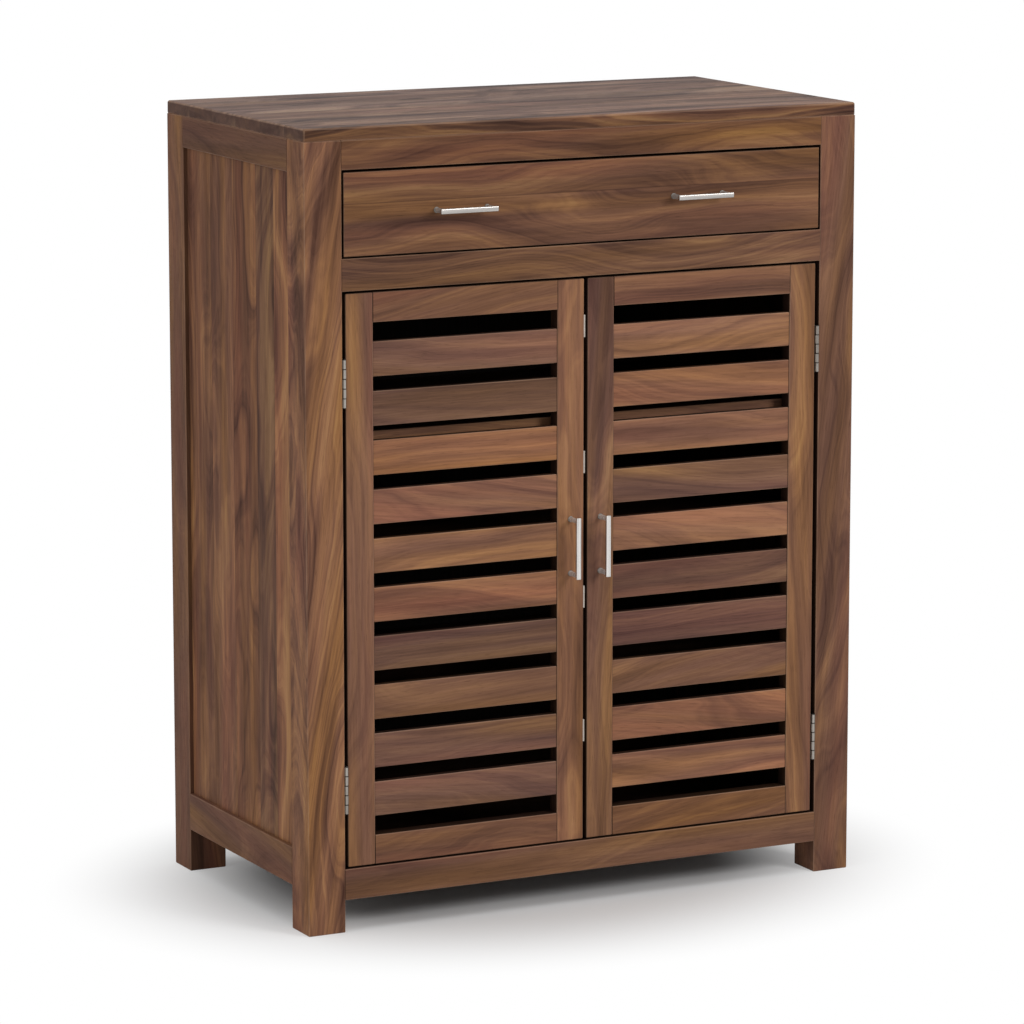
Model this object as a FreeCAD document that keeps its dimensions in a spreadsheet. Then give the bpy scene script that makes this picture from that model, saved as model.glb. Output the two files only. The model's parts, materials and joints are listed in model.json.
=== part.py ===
import FreeCAD, Part

import os
import re

import Sketcher

# Louvred door cabinet in solid wood. Millimetres, +Z up, front towards -Y.
# The origin is on the floor, at the middle of the box that encloses the closed cabinet.

SIZES = (
    # carcass
    ("width", 770, "across the outside of the posts"),
    ("depth", 420, "front to back over the posts"),
    ("height", 1000, "floor to the top of the top board"),
    ("post", 50, "side of a square corner post"),
    ("top_thick", 16, "top board thickness"),
    ("top_round", 3, "radius round the upper edge of the top board"),
    ("arris", 1, "bevel that eases the corners of every board"),
    ("rail_thick", 25, "thickness of all carcass rails"),
    ("leg_clear", 41, "floor to the underside of the lower front rail"),
    ("lower_rail", 39, "height of the lower front rail"),
    ("middle_rail", 40, "height of the rail between doors and drawer"),
    ("upper_rail", 36, "height of the rail above the drawer"),
    ("side_clear", 55, "floor to the underside of the lower side and rear rails"),
    ("side_lower_rail", 48, "height of the lower side and rear rails"),
    ("side_upper_rail", 40, "height of the upper side and rear rails"),
    ("tenon_long", 20, "how far a carcass tenon enters its post"),
    ("tenon_land", 6, "shoulder above and below a front rail's tenon"),
    ("groove_deep", 8, "depth of the grooves that hold the panels"),
    ("groove_land", 2, "wood left between a panel groove and a tenon"),
    ("panel_thick", 12, "side panel thickness"),
    ("panel_inset", 6, "side panel set back from the face of the posts"),
    ("panel_float", 1, "room for a panel to swell in its groove"),
    ("back_thick", 6, "back panel thickness"),
    ("back_inset", 10, "back panel set in from the back of the posts"),
    # inside
    ("bottom_thick", 18, "bottom board thickness"),
    ("shelf_thick", 18, "shelf thickness"),
    ("shelf_inset", 28, "front edge of a shelf behind the front of the posts"),
    ("shelf_fit", 1, "room round a shelf"),
    ("upper_shelf_level", 621.5, "floor to the top of the upper shelf"),
    ("middle_shelf_level", 470, "floor to the top of the middle shelf"),
    ("lower_shelf_level", 288, "floor to the top of the lower shelf"),
    ("cleat_wide", 20, "width of the battens that carry shelves and bottom"),
    ("cleat_tall", 18, "height of those battens"),
    # drawer
    ("drawer_opening", 108, "clear height of the drawer opening"),
    ("drawer_gap_side", 2.5, "gap each side of the drawer front"),
    ("drawer_gap_top", 3, "gap above the drawer front"),
    ("drawer_gap_low", 2, "gap below the drawer front"),
    ("drawer_front_thick", 20, "drawer front thickness"),
    ("drawer_side_thick", 12, "thickness of the drawer's sides and back"),
    ("drawer_side_tall", 96, "height of the drawer's sides"),
    ("drawer_rear_room", 34, "room between the drawer and the back panel"),
    ("drawer_side_clear", 3, "room between a drawer side and a post"),
    ("drawer_tongue", 8, "how far a drawer side is let into the front"),
    ("drawer_bottom_thick", 6, "drawer bottom thickness"),
    ("drawer_bottom_lift", 10, "drawer bottom above the lower edge of the sides"),
    ("drawer_groove", 5, "depth of the grooves that hold the drawer bottom"),
    ("slide_clear", 0.3, "running clearance under the drawer"),
    ("runner_wide", 20, "width of the drawer runners and kickers"),
    ("runner_tall", 22, "height of a drawer runner"),
    ("kicker_clear", 4, "room between the drawer's sides and the kickers"),
    ("stop_wide", 40, "width of the drawer's stop block"),
    ("stop_long", 15, "stop block, front to back"),
    ("stop_tall", 40, "height of the stop block"),
    ("stop_catch", 8, "how far the stop block hangs below the drawer's back"),
    # doors
    ("door_inset", 2, "door face behind the front of the posts"),
    ("door_thick", 20, "door thickness"),
    ("door_gap_side", 5, "gap on the hinge side, which holds the knuckles"),
    ("door_gap_middle", 5, "gap between the two doors"),
    ("door_gap_top", 3, "gap above the doors"),
    ("door_gap_low", 2, "gap below the doors"),
    ("stile_wide", 37, "width of a door stile"),
    ("door_rail", 37, "height of a door's top and bottom rail"),
    ("door_tenon_long", 22, "how far a door rail's tenon enters its stile"),
    ("door_tenon_thick", 8, "thickness of a door rail's tenon"),
    ("slat_count", 10, "slats in each door"),
    ("slat_wide", 43, "height of a slat"),
    ("slat_thick", 12, "slat thickness"),
    ("slat_inset", 1.5, "slat face behind the door's face"),
    ("slat_end_gap", 24, "gap between a door rail and the nearest slat"),
    ("slat_tenon_long", 8, "how far a slat enters its stile"),
    ("slat_tenon_thick", 6, "thickness of a slat's tenon"),
    ("slat_tenon_land", 5, "shoulder above and below a slat's tenon"),
    ("buffer_long", 28, "height of a buffer strip on the closing edge"),
    ("buffer_thick", 2, "thickness of a buffer strip"),
    ("buffer_deep", 12, "buffer strip, front to back"),
    ("buffer_count", 4, "buffer strips down the closing edge"),
    ("buffer_from_top", 60, "door's top edge to the middle of the first buffer"),
    ("buffer_from_low", 140, "door's bottom edge to the middle of the last buffer"),
    # handles
    ("handle_long", 78, "length of a handle bar"),
    ("handle_wide", 6.5, "width of a handle bar"),
    ("handle_thick", 4, "thickness of a handle bar"),
    ("handle_soft", 1.2, "radius along the bar's corners"),
    ("handle_end", 0.5, "bevel round the ends of the bar"),
    ("handle_stand", 19.5, "finger room between bar and wood"),
    ("stand_round", 6, "diameter of a handle's two posts"),
    ("stand_inset", 4.5, "end of the bar to the middle of a post"),
    ("door_handle_level", 460, "floor to the middle of a door handle"),
    ("drawer_handle_spread", 330, "between the middles of the drawer's handles"),
    ("drawer_handle_left", 8, "middle of the drawer to midway between its handles, to the left"),
    # hinges
    ("hinge_long", 60, "length of a hinge"),
    ("hinge_reach", 1.5, "pin axis in front of the door's face"),
    ("hinge_from_top", 110, "door's top edge to the middle of the upper hinge"),
    ("hinge_from_low", 98, "door's bottom edge to the middle of the lower hinge"),
    ("knuckle_round", 4.2, "diameter of a hinge's knuckles"),
    ("knuckle_gap", 0.3, "end play between knuckles"),
    ("pin_round", 2, "diameter of a hinge pin"),
    ("pin_clear", 0.1, "running clearance round a pin"),
    ("leaf_thick", 1, "thickness of a hinge leaf"),
    ("leaf_wide", 16, "pin axis to the free edge of a leaf"),
    ("leaf_relief", 0.4, "room between a leaf and the other leaf's knuckles"),
    # catches
    ("catch_wide", 32, "width of a magnetic catch"),
    ("catch_deep", 14, "catch, front to back, behind its rail"),
    ("catch_hold", 15, "how far a catch laps up its rail"),
    ("catch_clear", 0.3, "gap between a catch and its strike"),
    ("strike_wide", 26, "width of a strike plate"),
    ("strike_tall", 15, "height of a strike plate"),
    ("strike_thick", 1.2, "strike plate thickness"),
    ("strike_drop", 3, "strike plate below the door's top edge"),
)

# Lengths that follow from the sizes, each a formula on names above it.
LAYOUT = {
    "half": "width / 2",
    "inner": "half - post",
    "front": "(handle_stand + handle_thick - depth) / 2",
    "back": "front + depth",
    "body_top": "height - top_thick",
    "between_posts": "depth - 2 * post",
    # front openings, from the floor up
    "door_sill": "leg_clear + lower_rail",
    "drawer_ceiling": "body_top - upper_rail",
    "drawer_floor": "drawer_ceiling - drawer_opening",
    "door_ceiling": "drawer_floor - middle_rail",
    # side and rear frames
    "side_sill": "side_clear + side_lower_rail",
    "side_ceiling": "body_top - side_upper_rail",
    "side_land": "groove_deep + groove_land",
    "panel_low": "side_sill - groove_deep + panel_float",
    "panel_high": "side_ceiling + groove_deep - panel_float",
    "panel_tall": "panel_high - panel_low",
    "panel_lap": "groove_deep - panel_float",
    "panel_back": "half - panel_inset - panel_thick",
    "back_face": "back - back_inset - back_thick",
    "front_tenon_set": "(rail_thick - panel_thick) / 2",
    # doors
    "door_foot": "door_sill + door_gap_low",
    "door_head": "door_ceiling - door_gap_top",
    "door_tall": "door_head - door_foot",
    "door_wide": "inner - door_gap_side - door_gap_middle / 2",
    "door_front": "front + door_inset",
    "door_back": "door_front + door_thick",
    "slat_long": "door_wide - 2 * stile_wide",
    "slat_low": "door_rail + slat_end_gap",
    "slat_climb": "door_tall - 2 * slat_low - slat_wide",
    "slat_tenon_set": "slat_inset + (slat_thick - slat_tenon_thick) / 2",
    "door_tenon_set": "(door_thick - door_tenon_thick) / 2",
    "buffer_climb": "door_tall - buffer_from_top - buffer_from_low",
    # hinges
    "hinge_x": "inner - door_gap_side / 2",
    "hinge_y": "door_front - hinge_reach",
    "hinge_low": "door_foot + hinge_from_low - hinge_long / 2",
    "hinge_climb": "door_tall - hinge_from_low - hinge_from_top",
    "knuckle_long": "hinge_long / 5",
    "leaf_start": "knuckle_round / 2 + leaf_relief",
    # drawer
    "drawer_foot": "drawer_floor + drawer_gap_low",
    "drawer_tall": "drawer_opening - drawer_gap_low - drawer_gap_top",
    "drawer_half": "inner - drawer_gap_side",
    "drawer_out": "inner - drawer_side_clear",
    "drawer_in": "drawer_out - drawer_side_thick",
    "drawer_box": "front + drawer_front_thick",
    "drawer_long": "back_face - drawer_box - drawer_rear_room",
    "drawer_side_top": "drawer_foot + drawer_side_tall",
    "runner_top": "drawer_foot - slide_clear",
    "runner_long": "depth - rail_thick - back_inset - back_thick",
    "kicker_low": "drawer_side_top + kicker_clear",
    "kicker_long": "depth - 2 * rail_thick",
    # catches
    "strike_low": "door_head - strike_drop - strike_tall",
    "stile_middle": "(door_gap_middle + stile_wide) / 2",
    "nose_front": "door_back + strike_thick + catch_clear",
}

doc = FreeCAD.newDocument("LouvredDoorCabinet")
sheet = doc.addObject("Spreadsheet::Sheet", "Sizes")
for row, (alias, size, meaning) in enumerate(SIZES, start=1):
    sheet.set(f"A{row}", alias)
    sheet.set(f"B{row}", str(size))
    sheet.set(f"C{row}", meaning)
    sheet.setAlias(f"B{row}", alias)
doc.recompute()

pieces = {}
cuts = []


def formula(text):
    """Spells out a length written in plain names as a formula on the sheet's cells."""

    def spell(match):
        word = match.group(0)
        if word in LAYOUT:
            return "(" + formula(LAYOUT[word]) + ")"
        return "Sizes." + word

    return re.sub(r"[a-z][a-z_]+", spell, text)


def bind(thing, path, text):
    thing.setExpression(path, formula(text))


def piece(label, x, y, z, solids=1):
    """One sub-part: a body placed by formulas, and the number of solids that it must have."""
    body = doc.addObject("PartDesign::Body", label)
    body.Label = label
    for axis, text in zip("xyz", (x, y, z)):
        bind(body, f"Placement.Base.{axis}", text)
    pieces[label] = (body, solids)
    return body


def origin_part(body, role):
    return next(item for item in body.Origin.OriginFeatures if item.Role == role)


def feature(body, kind, name):
    made = body.newObject("PartDesign::" + kind, f"{body.Name}_{name}")
    body.Tip = made
    return made


def new_sketch(body, name, role, level):
    """An empty sketch on a plane of the body's own origin, raised along its normal by level."""
    sketch = body.newObject("Sketcher::SketchObject", f"{body.Name}_{name}_sketch")
    sketch.AttachmentSupport = (origin_part(body, role), "")
    sketch.MapMode = "FlatFace"
    bind(sketch, "AttachmentOffset.Base.z", level)
    sketch.Visibility = False
    return sketch


def set_size(sketch, name, constraint, text):
    index = sketch.addConstraint(constraint)
    sketch.renameConstraint(index, name)
    bind(sketch, "Constraints." + name, text)


def rectangle(body, name, role, left, low, wide, tall, level):
    sketch = new_sketch(body, name, role, level)
    corners = [FreeCAD.Vector(*at, 0) for at in ((0, 0), (9, 0), (9, 9), (0, 9))]
    for index, corner in enumerate(corners):
        sketch.addGeometry(Part.LineSegment(corner, corners[(index + 1) % 4]), False)
    for index in range(4):
        sketch.addConstraint(Sketcher.Constraint("Coincident", index, 2, (index + 1) % 4, 1))
    for index, way in enumerate(("Horizontal", "Vertical") * 2):
        sketch.addConstraint(Sketcher.Constraint(way, index))
    set_size(sketch, "left", Sketcher.Constraint("DistanceX", -1, 1, 0, 1, 1.0), left)
    set_size(sketch, "low", Sketcher.Constraint("DistanceY", -1, 1, 0, 1, 1.0), low)
    set_size(sketch, "wide", Sketcher.Constraint("DistanceX", 0, 1, 0, 2, 9.0), wide)
    set_size(sketch, "tall", Sketcher.Constraint("DistanceY", 1, 1, 1, 2, 9.0), tall)
    return sketch


def circle(body, name, role, across, up, diameter, level):
    sketch = new_sketch(body, name, role, level)
    sketch.addGeometry(Part.Circle(FreeCAD.Vector(1, 1, 0), FreeCAD.Vector(0, 0, 1), 2), False)
    set_size(sketch, "across", Sketcher.Constraint("DistanceX", -1, 1, 0, 3, 1.0), across)
    set_size(sketch, "up", Sketcher.Constraint("DistanceY", -1, 1, 0, 3, 1.0), up)
    set_size(sketch, "diameter", Sketcher.Constraint("Diameter", 0, 4.0), diameter)
    return sketch


def pad(body, name, sketch, long):
    made = feature(body, "Pad", name)
    made.Profile = sketch
    bind(made, "Length", long)
    return made


def pocket(body, name, sketch, long, along_normal=True):
    made = feature(body, "Pocket", name)
    made.Profile = sketch
    made.Reversed = along_normal
    bind(made, "Length", long)
    cuts.append(made)
    return made


def block(body, name, x, y, z, wide, deep, tall):
    """Adds a straight block whose lowest corner is at x, y, z of the body."""
    return pad(body, name, rectangle(body, name, "XY_Plane", x, y, wide, deep, z), tall)


def cut(body, name, x, y, z, wide, deep, tall):
    """Cuts away a straight block: a mortise, groove or housing."""
    return pocket(body, name, rectangle(body, name, "XY_Plane", x, y, wide, deep, z), tall)


def edges_along(shape, axes):
    """The names of the straight edges that run along one of the axes."""
    names = []
    for index, edge in enumerate(shape.Edges, start=1):
        run = edge.Vertexes[-1].Point - edge.Vertexes[0].Point
        if any(abs(getattr(run, axis)) > 0.99 * run.Length for axis in axes):
            names.append(f"Edge{index}")
    return names


def ease(body, axes="xyz"):
    """Bevels the corners of the piece as it stands, along the given axes."""
    doc.recompute()
    base = body.Tip
    made = feature(body, "Chamfer", "Arris")
    made.Base = (base, edges_along(base.Shape, axes))
    bind(made, "Size", "arris")
    return made


def repeat(body, name, axis, length, count, originals=None):
    """Repeats features, or with none named the whole piece, evenly over a length."""
    doc.recompute()
    made = feature(body, "LinearPattern", name)
    if originals:
        made.Originals = originals
    else:
        made.TransformMode = "Whole shape"
    made.Direction = (origin_part(body, axis + "_Axis"), [""])
    made.Mode = "Extent"
    bind(made, "Length", length)
    bind(made, "Occurrences", count)
    body.Tip = made
    return made


def handed(side, x, wide, across):
    """A place measured from the left edge of the left-hand piece, or its mirror image."""
    if side == "left":
        return x
    return f"{across} - ({x}) - ({wide})"


SIDES = ("left", "right")
FRONT_RAILS = (("lower", "leg_clear", "lower_rail"), ("middle", "door_ceiling", "middle_rail"),
               ("upper", "drawer_ceiling", "upper_rail"))
SIDE_RAILS = (("lower", "side_clear", "side_lower_rail"), ("upper", "side_ceiling", "side_upper_rail"))


def post_x(side):
    return "-half" if side == "left" else "inner"


def cross_mortise(body, side, name, y, z, height, land):
    """A mortise in the inner face of a post, for a rail that runs across the cabinet."""
    x = handed(side, "post - tenon_long", "tenon_long", "post")
    cut(body, f"{name}_mortise", x, y, f"{z} + {land}", "tenon_long", "panel_thick",
        f"{height} - 2 * {land}")


def side_joints(body, side, tenon, groove):
    """The mortises and the panel groove for the side frame, in a post's rear or front face."""
    x = handed(side, "panel_inset", "panel_thick", "post")
    for name, z, height in SIDE_RAILS:
        cut(body, f"Side_{name}_mortise", x, tenon, f"{z} + side_land", "panel_thick", "tenon_long",
            f"{height} - 2 * side_land")
    cut(body, "Side_groove", x, groove, "side_sill - groove_deep", "panel_thick", "groove_deep",
        "side_ceiling - side_sill + 2 * groove_deep")


def front_post(side):
    body = piece(f"front_{side}_post", post_x(side), "front", "0")
    block(body, "Post", "0", "0", "0", "post", "post", "body_top")
    ease(body)
    for name, z, height in FRONT_RAILS:
        cross_mortise(body, side, name, "front_tenon_set", z, height, "tenon_land")
    side_joints(body, side, "post - tenon_long", "post - groove_deep")


def rear_post(side):
    body = piece(f"rear_{side}_post", post_x(side), "back - post", "0")
    block(body, "Post", "0", "0", "0", "post", "post", "body_top")
    ease(body)
    for name, z, height in SIDE_RAILS:
        y = "post - rail_thick + front_tenon_set"
        cross_mortise(body, side, name, y, z, height, "side_land")
    side_joints(body, side, "0", "0")
    x = handed(side, "post - groove_deep", "groove_deep", "post")
    cut(body, "Back_groove", x, "post - back_inset - back_thick", "side_sill - groove_deep",
        "groove_deep", "back_thick", "side_ceiling - side_sill + 2 * groove_deep")


def cross_rail(label, y, z, height, land):
    """A rail across the cabinet, with a tenon at each end."""
    body = piece(label, "-inner", y, z)
    block(body, "Rail", "0", "0", "0", "2 * inner", "rail_thick", height)
    ease(body, "x")
    block(body, "Tenons", "-tenon_long", "front_tenon_set", land, "2 * (inner + tenon_long)",
          "panel_thick", f"{height} - 2 * {land}")
    return body


def rear_rail(name, z, height):
    body = cross_rail(f"rear_{name}_rail", "back - rail_thick", z, height, "side_land")
    groove_z = f"{height} - groove_deep" if name == "lower" else "0"
    cut(body, "Back_groove", "0", "rail_thick - back_inset - back_thick", groove_z, "2 * inner",
        "back_thick", "groove_deep")


def side_rail(side, name, z, height):
    """A rail from front post to rear post, grooved for the side panel."""
    x = "-half" if side == "left" else "half - rail_thick"
    body = piece(f"{side}_{name}_side_rail", x, "front + post", z)
    block(body, "Rail", "0", "0", "0", "rail_thick", "between_posts", height)
    ease(body, "y")
    tenon_x = handed(side, "panel_inset", "panel_thick", "rail_thick")
    block(body, "Tenons", tenon_x, "-tenon_long", "side_land", "panel_thick",
          "between_posts + 2 * tenon_long", f"{height} - 2 * side_land")
    groove_z = f"{height} - groove_deep" if name == "lower" else "0"
    cut(body, "Panel_groove", tenon_x, "0", groove_z, "panel_thick", "between_posts", "groove_deep")


def side_panel(side):
    x = "-half + panel_inset" if side == "left" else "panel_back"
    body = piece(f"{side}_side_panel", x, "front + post - panel_lap", "panel_low")
    block(body, "Panel", "0", "0", "0", "panel_thick", "between_posts + 2 * panel_lap", "panel_tall")


def back_panel():
    body = piece("back_panel", "-inner - panel_lap", "back_face", "panel_low")
    block(body, "Panel", "0", "0", "0", "2 * (inner + panel_lap)", "back_thick", "panel_tall")


def top_board():
    """The top board: rounded above, bevelled below, where it meets the eased frame in a fine groove."""
    body = piece("top_board", "-half", "front", "body_top")
    block(body, "Board", "0", "0", "0", "width", "depth", "top_thick")
    doc.recompute()
    board = body.Tip
    thick = sheet.top_thick
    upper = [f"Edge{index}" for index, edge in enumerate(board.Shape.Edges, start=1)
             if edge.CenterOfMass.z > thick / 2 - 0.01]
    rounding = feature(body, "Fillet", "Round")
    rounding.Base = (board, upper)
    bind(rounding, "Radius", "top_round")
    doc.recompute()
    lower = [f"Edge{index}" for index, edge in enumerate(rounding.Shape.Edges, start=1)
             if edge.BoundBox.ZMax < 0.01]
    bevel = feature(body, "Chamfer", "Arris")
    bevel.Base = (rounding, lower)
    bind(bevel, "Size", "arris")


def notched_board(label, top, thick, half_wide, low_y, high_y):
    """A board that reaches out between the posts and is notched round them."""
    body = piece(label, "0", "front", f"{top} - {thick}")
    block(body, "Board", "-(inner - shelf_fit)", f"{low_y} - front", "0", "2 * (inner - shelf_fit)",
          f"{high_y} - ({low_y})", thick)
    ease(body, "x")
    block(body, "Wings", f"-({half_wide})", "post + shelf_fit", "0", f"2 * ({half_wide})",
          "between_posts - 2 * shelf_fit", thick)


SHELVES = ("lower", "middle", "upper")


def shelf_cleats():
    """A batten under each end of each shelf, between the posts and against the side panel."""
    body = piece("shelf_cleats", "0", "front + post", "0", solids=2 * len(SHELVES))
    for name in SHELVES:
        for side in SIDES:
            x = "-panel_back" if side == "left" else "panel_back - cleat_wide"
            level = f"{name}_shelf_level - shelf_thick - cleat_tall"
            block(body, f"{name}_{side}", x, "0", level, "cleat_wide", "between_posts", "cleat_tall")


def bottom_cleats():
    """Battens along the lower front and rear rails that carry the bottom board."""
    body = piece("bottom_cleats", "-inner", "front", "door_sill - bottom_thick - cleat_tall", solids=2)
    for name, y in (("Front", "rail_thick"), ("Rear", "depth - rail_thick - cleat_wide")):
        block(body, name, "0", y, "0", "2 * inner", "cleat_wide", "cleat_tall")


def drawer_guides(side):
    """The runner under one side of the drawer and the kicker that keeps it from tipping."""
    x = "-inner" if side == "left" else "inner - runner_wide"
    runner = piece(f"{side}_drawer_runner", x, "front + rail_thick", "runner_top - runner_tall")
    block(runner, "Runner", "0", "0", "0", "runner_wide", "runner_long", "runner_tall")
    kicker = piece(f"{side}_drawer_kicker", x, "front + rail_thick", "kicker_low")
    block(kicker, "Kicker", "0", "0", "0", "runner_wide", "kicker_long", "body_top - kicker_low")


def drawer_stop():
    """A block behind the upper rail that the drawer's back meets when it is pulled out."""
    body = piece("drawer_stop_block", "-stop_wide / 2", "front + rail_thick",
                 "drawer_side_top - stop_catch")
    block(body, "Block", "0", "0", "0", "stop_wide", "stop_long", "stop_tall")


def drawer_front():
    body = piece("drawer_front", "-drawer_half", "front", "drawer_foot")
    block(body, "Front", "0", "0", "0", "2 * drawer_half", "drawer_front_thick", "drawer_tall")
    ease(body)
    for side in SIDES:
        x = handed(side, "drawer_half - drawer_out", "drawer_side_thick", "2 * drawer_half")
        cut(body, f"{side}_housing", x, "drawer_front_thick - drawer_tongue", "0", "drawer_side_thick",
            "drawer_tongue", "drawer_side_tall")
    cut(body, "Bottom_groove", "drawer_half - drawer_in", "drawer_front_thick - drawer_groove",
        "drawer_bottom_lift", "2 * drawer_in", "drawer_groove", "drawer_bottom_thick")


def drawer_side(side):
    x = "-drawer_out" if side == "left" else "drawer_in"
    body = piece(f"drawer_{side}_side", x, "drawer_box - drawer_tongue", "drawer_foot")
    block(body, "Side", "0", "0", "0", "drawer_side_thick", "drawer_long + drawer_tongue",
          "drawer_side_tall")
    groove_x = handed(side, "drawer_side_thick - drawer_groove", "drawer_groove", "drawer_side_thick")
    cut(body, "Bottom_groove", groove_x, "drawer_tongue - drawer_groove", "drawer_bottom_lift",
        "drawer_groove", "drawer_long + drawer_groove", "drawer_bottom_thick")


def drawer_back_and_bottom():
    above_bottom = "drawer_bottom_lift + drawer_bottom_thick"
    body = piece("drawer_back", "-drawer_in", "drawer_box + drawer_long - drawer_side_thick",
                 "drawer_foot")
    block(body, "Back", "0", "0", above_bottom, "2 * drawer_in", "drawer_side_thick",
          f"drawer_side_tall - ({above_bottom})")
    body = piece("drawer_bottom", "-drawer_in - drawer_groove", "drawer_box - drawer_groove",
                 "drawer_foot + drawer_bottom_lift")
    block(body, "Bottom", "0", "0", "0", "2 * (drawer_in + drawer_groove)",
          "drawer_long + drawer_groove", "drawer_bottom_thick")


def door_x(side):
    """The left edge of a door."""
    return "-inner + door_gap_side" if side == "left" else "door_gap_middle / 2"


def stile(side, place):
    """A door stile, mortised down its inner edge for two rails and the slats."""
    outer = (side == "left") == (place == "hinge")
    x = door_x(side) if outer else f"{door_x(side)} + door_wide - stile_wide"
    body = piece(f"{side}_door_{place}_stile", x, "door_front", "door_foot")
    block(body, "Stile", "0", "0", "0", "stile_wide", "door_thick", "door_tall")
    ease(body)
    hand = "left" if outer else "right"
    rail_x = handed(hand, "stile_wide - door_tenon_long", "door_tenon_long", "stile_wide")
    for name, z in (("Bottom", "tenon_land"), ("Top", "door_tall - door_rail + tenon_land")):
        cut(body, f"{name}_mortise", rail_x, "door_tenon_set", z, "door_tenon_long", "door_tenon_thick",
            "door_rail - 2 * tenon_land")
    slat_x = handed(hand, "stile_wide - slat_tenon_long", "slat_tenon_long", "stile_wide")
    mortise = cut(body, "Slat_mortise", slat_x, "slat_tenon_set", "slat_low + slat_tenon_land",
                  "slat_tenon_long", "slat_tenon_thick", "slat_wide - 2 * slat_tenon_land")
    repeat(body, "Slat_mortises", "Z", "slat_climb", "slat_count", [mortise])


def door_rail(side, name):
    z = "door_foot" if name == "bottom" else "door_head - door_rail"
    body = piece(f"{side}_door_{name}_rail", f"{door_x(side)} + stile_wide", "door_front", z)
    block(body, "Rail", "0", "0", "0", "slat_long", "door_thick", "door_rail")
    ease(body, "x")
    block(body, "Tenons", "-door_tenon_long", "door_tenon_set", "tenon_land",
          "slat_long + 2 * door_tenon_long", "door_tenon_thick", "door_rail - 2 * tenon_land")


def slats(side):
    """The louvre: one eased slat with its two tenons, repeated up the door."""
    body = piece(f"{side}_door_slats", f"{door_x(side)} + stile_wide", "door_front", "door_foot",
                 solids=int(sheet.slat_count))
    block(body, "Slat", "0", "slat_inset", "slat_low", "slat_long", "slat_thick", "slat_wide")
    ease(body, "x")
    block(body, "Tenons", "-slat_tenon_long", "slat_tenon_set", "slat_low + slat_tenon_land",
          "slat_long + 2 * slat_tenon_long", "slat_tenon_thick", "slat_wide - 2 * slat_tenon_land")
    repeat(body, "Louvre", "Z", "slat_climb", "slat_count")


def buffers():
    """Soft strips on the closing edge of the left door."""
    body = piece("left_door_buffers", "-door_gap_middle / 2", "door_front + arris",
                 "door_foot + buffer_from_low - buffer_long / 2", solids=int(sheet.buffer_count))
    block(body, "Strip", "0", "0", "0", "buffer_thick", "buffer_deep", "buffer_long")
    repeat(body, "Strips", "Z", "buffer_climb", "buffer_count")


def handle(label, x, y, z, upright):
    """A bar handle on two posts. It lies along X, or stands when upright."""
    body = piece(label, x, y, z)
    if upright:
        body.Placement.Rotation = FreeCAD.Rotation(FreeCAD.Vector(0, 1, 0), 90)
    sketch = rectangle(body, "Bar", "XZ_Plane", "-handle_long / 2", "-handle_wide / 2", "handle_long",
                       "handle_wide", "handle_stand")
    pad(body, "Bar", sketch, "handle_thick")
    doc.recompute()
    bar = body.Tip
    soft = feature(body, "Fillet", "Soft")
    soft.Base = (bar, edges_along(bar.Shape, "x"))
    bind(soft, "Radius", "handle_soft")
    doc.recompute()
    end = feature(body, "Chamfer", "End")
    end.Base = (soft, [f"Edge{index}" for index, edge in enumerate(soft.Shape.Edges, start=1)
                       if edge.BoundBox.XLength < 0.01])
    bind(end, "Size", "handle_end")
    sketch = circle(body, "Stand", "XZ_Plane", "stand_inset - handle_long / 2", "0", "stand_round", "0")
    stand = pad(body, "Stand", sketch, "handle_stand + handle_thick / 2")
    repeat(body, "Stands", "X", "handle_long - 2 * stand_inset", "2", [stand])


def sign(side):
    """The side of a hinge axis on which the carcass lies."""
    return "-" if side == "left" else ""


def hinge_leaf(side, owner, toward):
    """Both of a door's leaves on one owner: a plate rolled into its share of the knuckles."""
    body = piece(f"{side}_{owner}_hinge_leaves", f"{sign(side)}hinge_x", "hinge_y", "hinge_low",
                 solids=2)
    x = "door_gap_side / 2 - leaf_thick" if toward > 0 else "-door_gap_side / 2"
    block(body, "Plate", x, "leaf_start", "0", "leaf_thick", "leaf_wide - leaf_start", "hinge_long")
    owned = owner == "frame"
    low = "0" if owned else "knuckle_long + knuckle_gap / 2"
    long = "knuckle_long - knuckle_gap / 2" if owned else "knuckle_long - knuckle_gap"
    knuckles = "3" if owned else "2"
    climb = "4 * knuckle_long + knuckle_gap / 2" if owned else "2 * knuckle_long"
    roll = block(body, "Roll", x, "0", low, "leaf_thick", "leaf_start + leaf_relief", long)
    sketch = circle(body, "Knuckle", "XY_Plane", "0", "0", "knuckle_round", low)
    knuckle = pad(body, "Knuckle", sketch, long)
    repeat(body, "Knuckles", "Z", climb, knuckles, [roll, knuckle])
    bore = "pin_round" if owned else "pin_round + 2 * pin_clear"
    sketch = circle(body, "Bore", "XY_Plane", "0", "0", bore, "0")
    pocket(body, "Bore", sketch, "hinge_long")
    repeat(body, "Pair", "Z", "hinge_climb", "2")


def hinge_pins():
    body = piece("hinge_pins", "-hinge_x", "hinge_y", "hinge_low", solids=4)
    pad(body, "Pin", circle(body, "Pin", "XY_Plane", "0", "0", "pin_round", "0"), "hinge_long")
    repeat(body, "Hinge_pair", "Z", "hinge_climb", "2")
    repeat(body, "Both_sides", "X", "2 * hinge_x", "2")


def catches():
    """Magnetic catches behind the middle rail, one for each door."""
    body = piece("door_catches", "0", "front", "strike_low", solids=2)
    for side in SIDES:
        middle = f"{sign(side)}stile_middle"
        x = f"{middle} - catch_wide / 2"
        block(body, f"{side}_case", x, "rail_thick", "0", "catch_wide", "catch_deep",
              "door_ceiling + catch_hold - strike_low")
        block(body, f"{side}_nose", x, "nose_front - front", "0", "catch_wide",
              "rail_thick - nose_front + front", "strike_tall")


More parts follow.
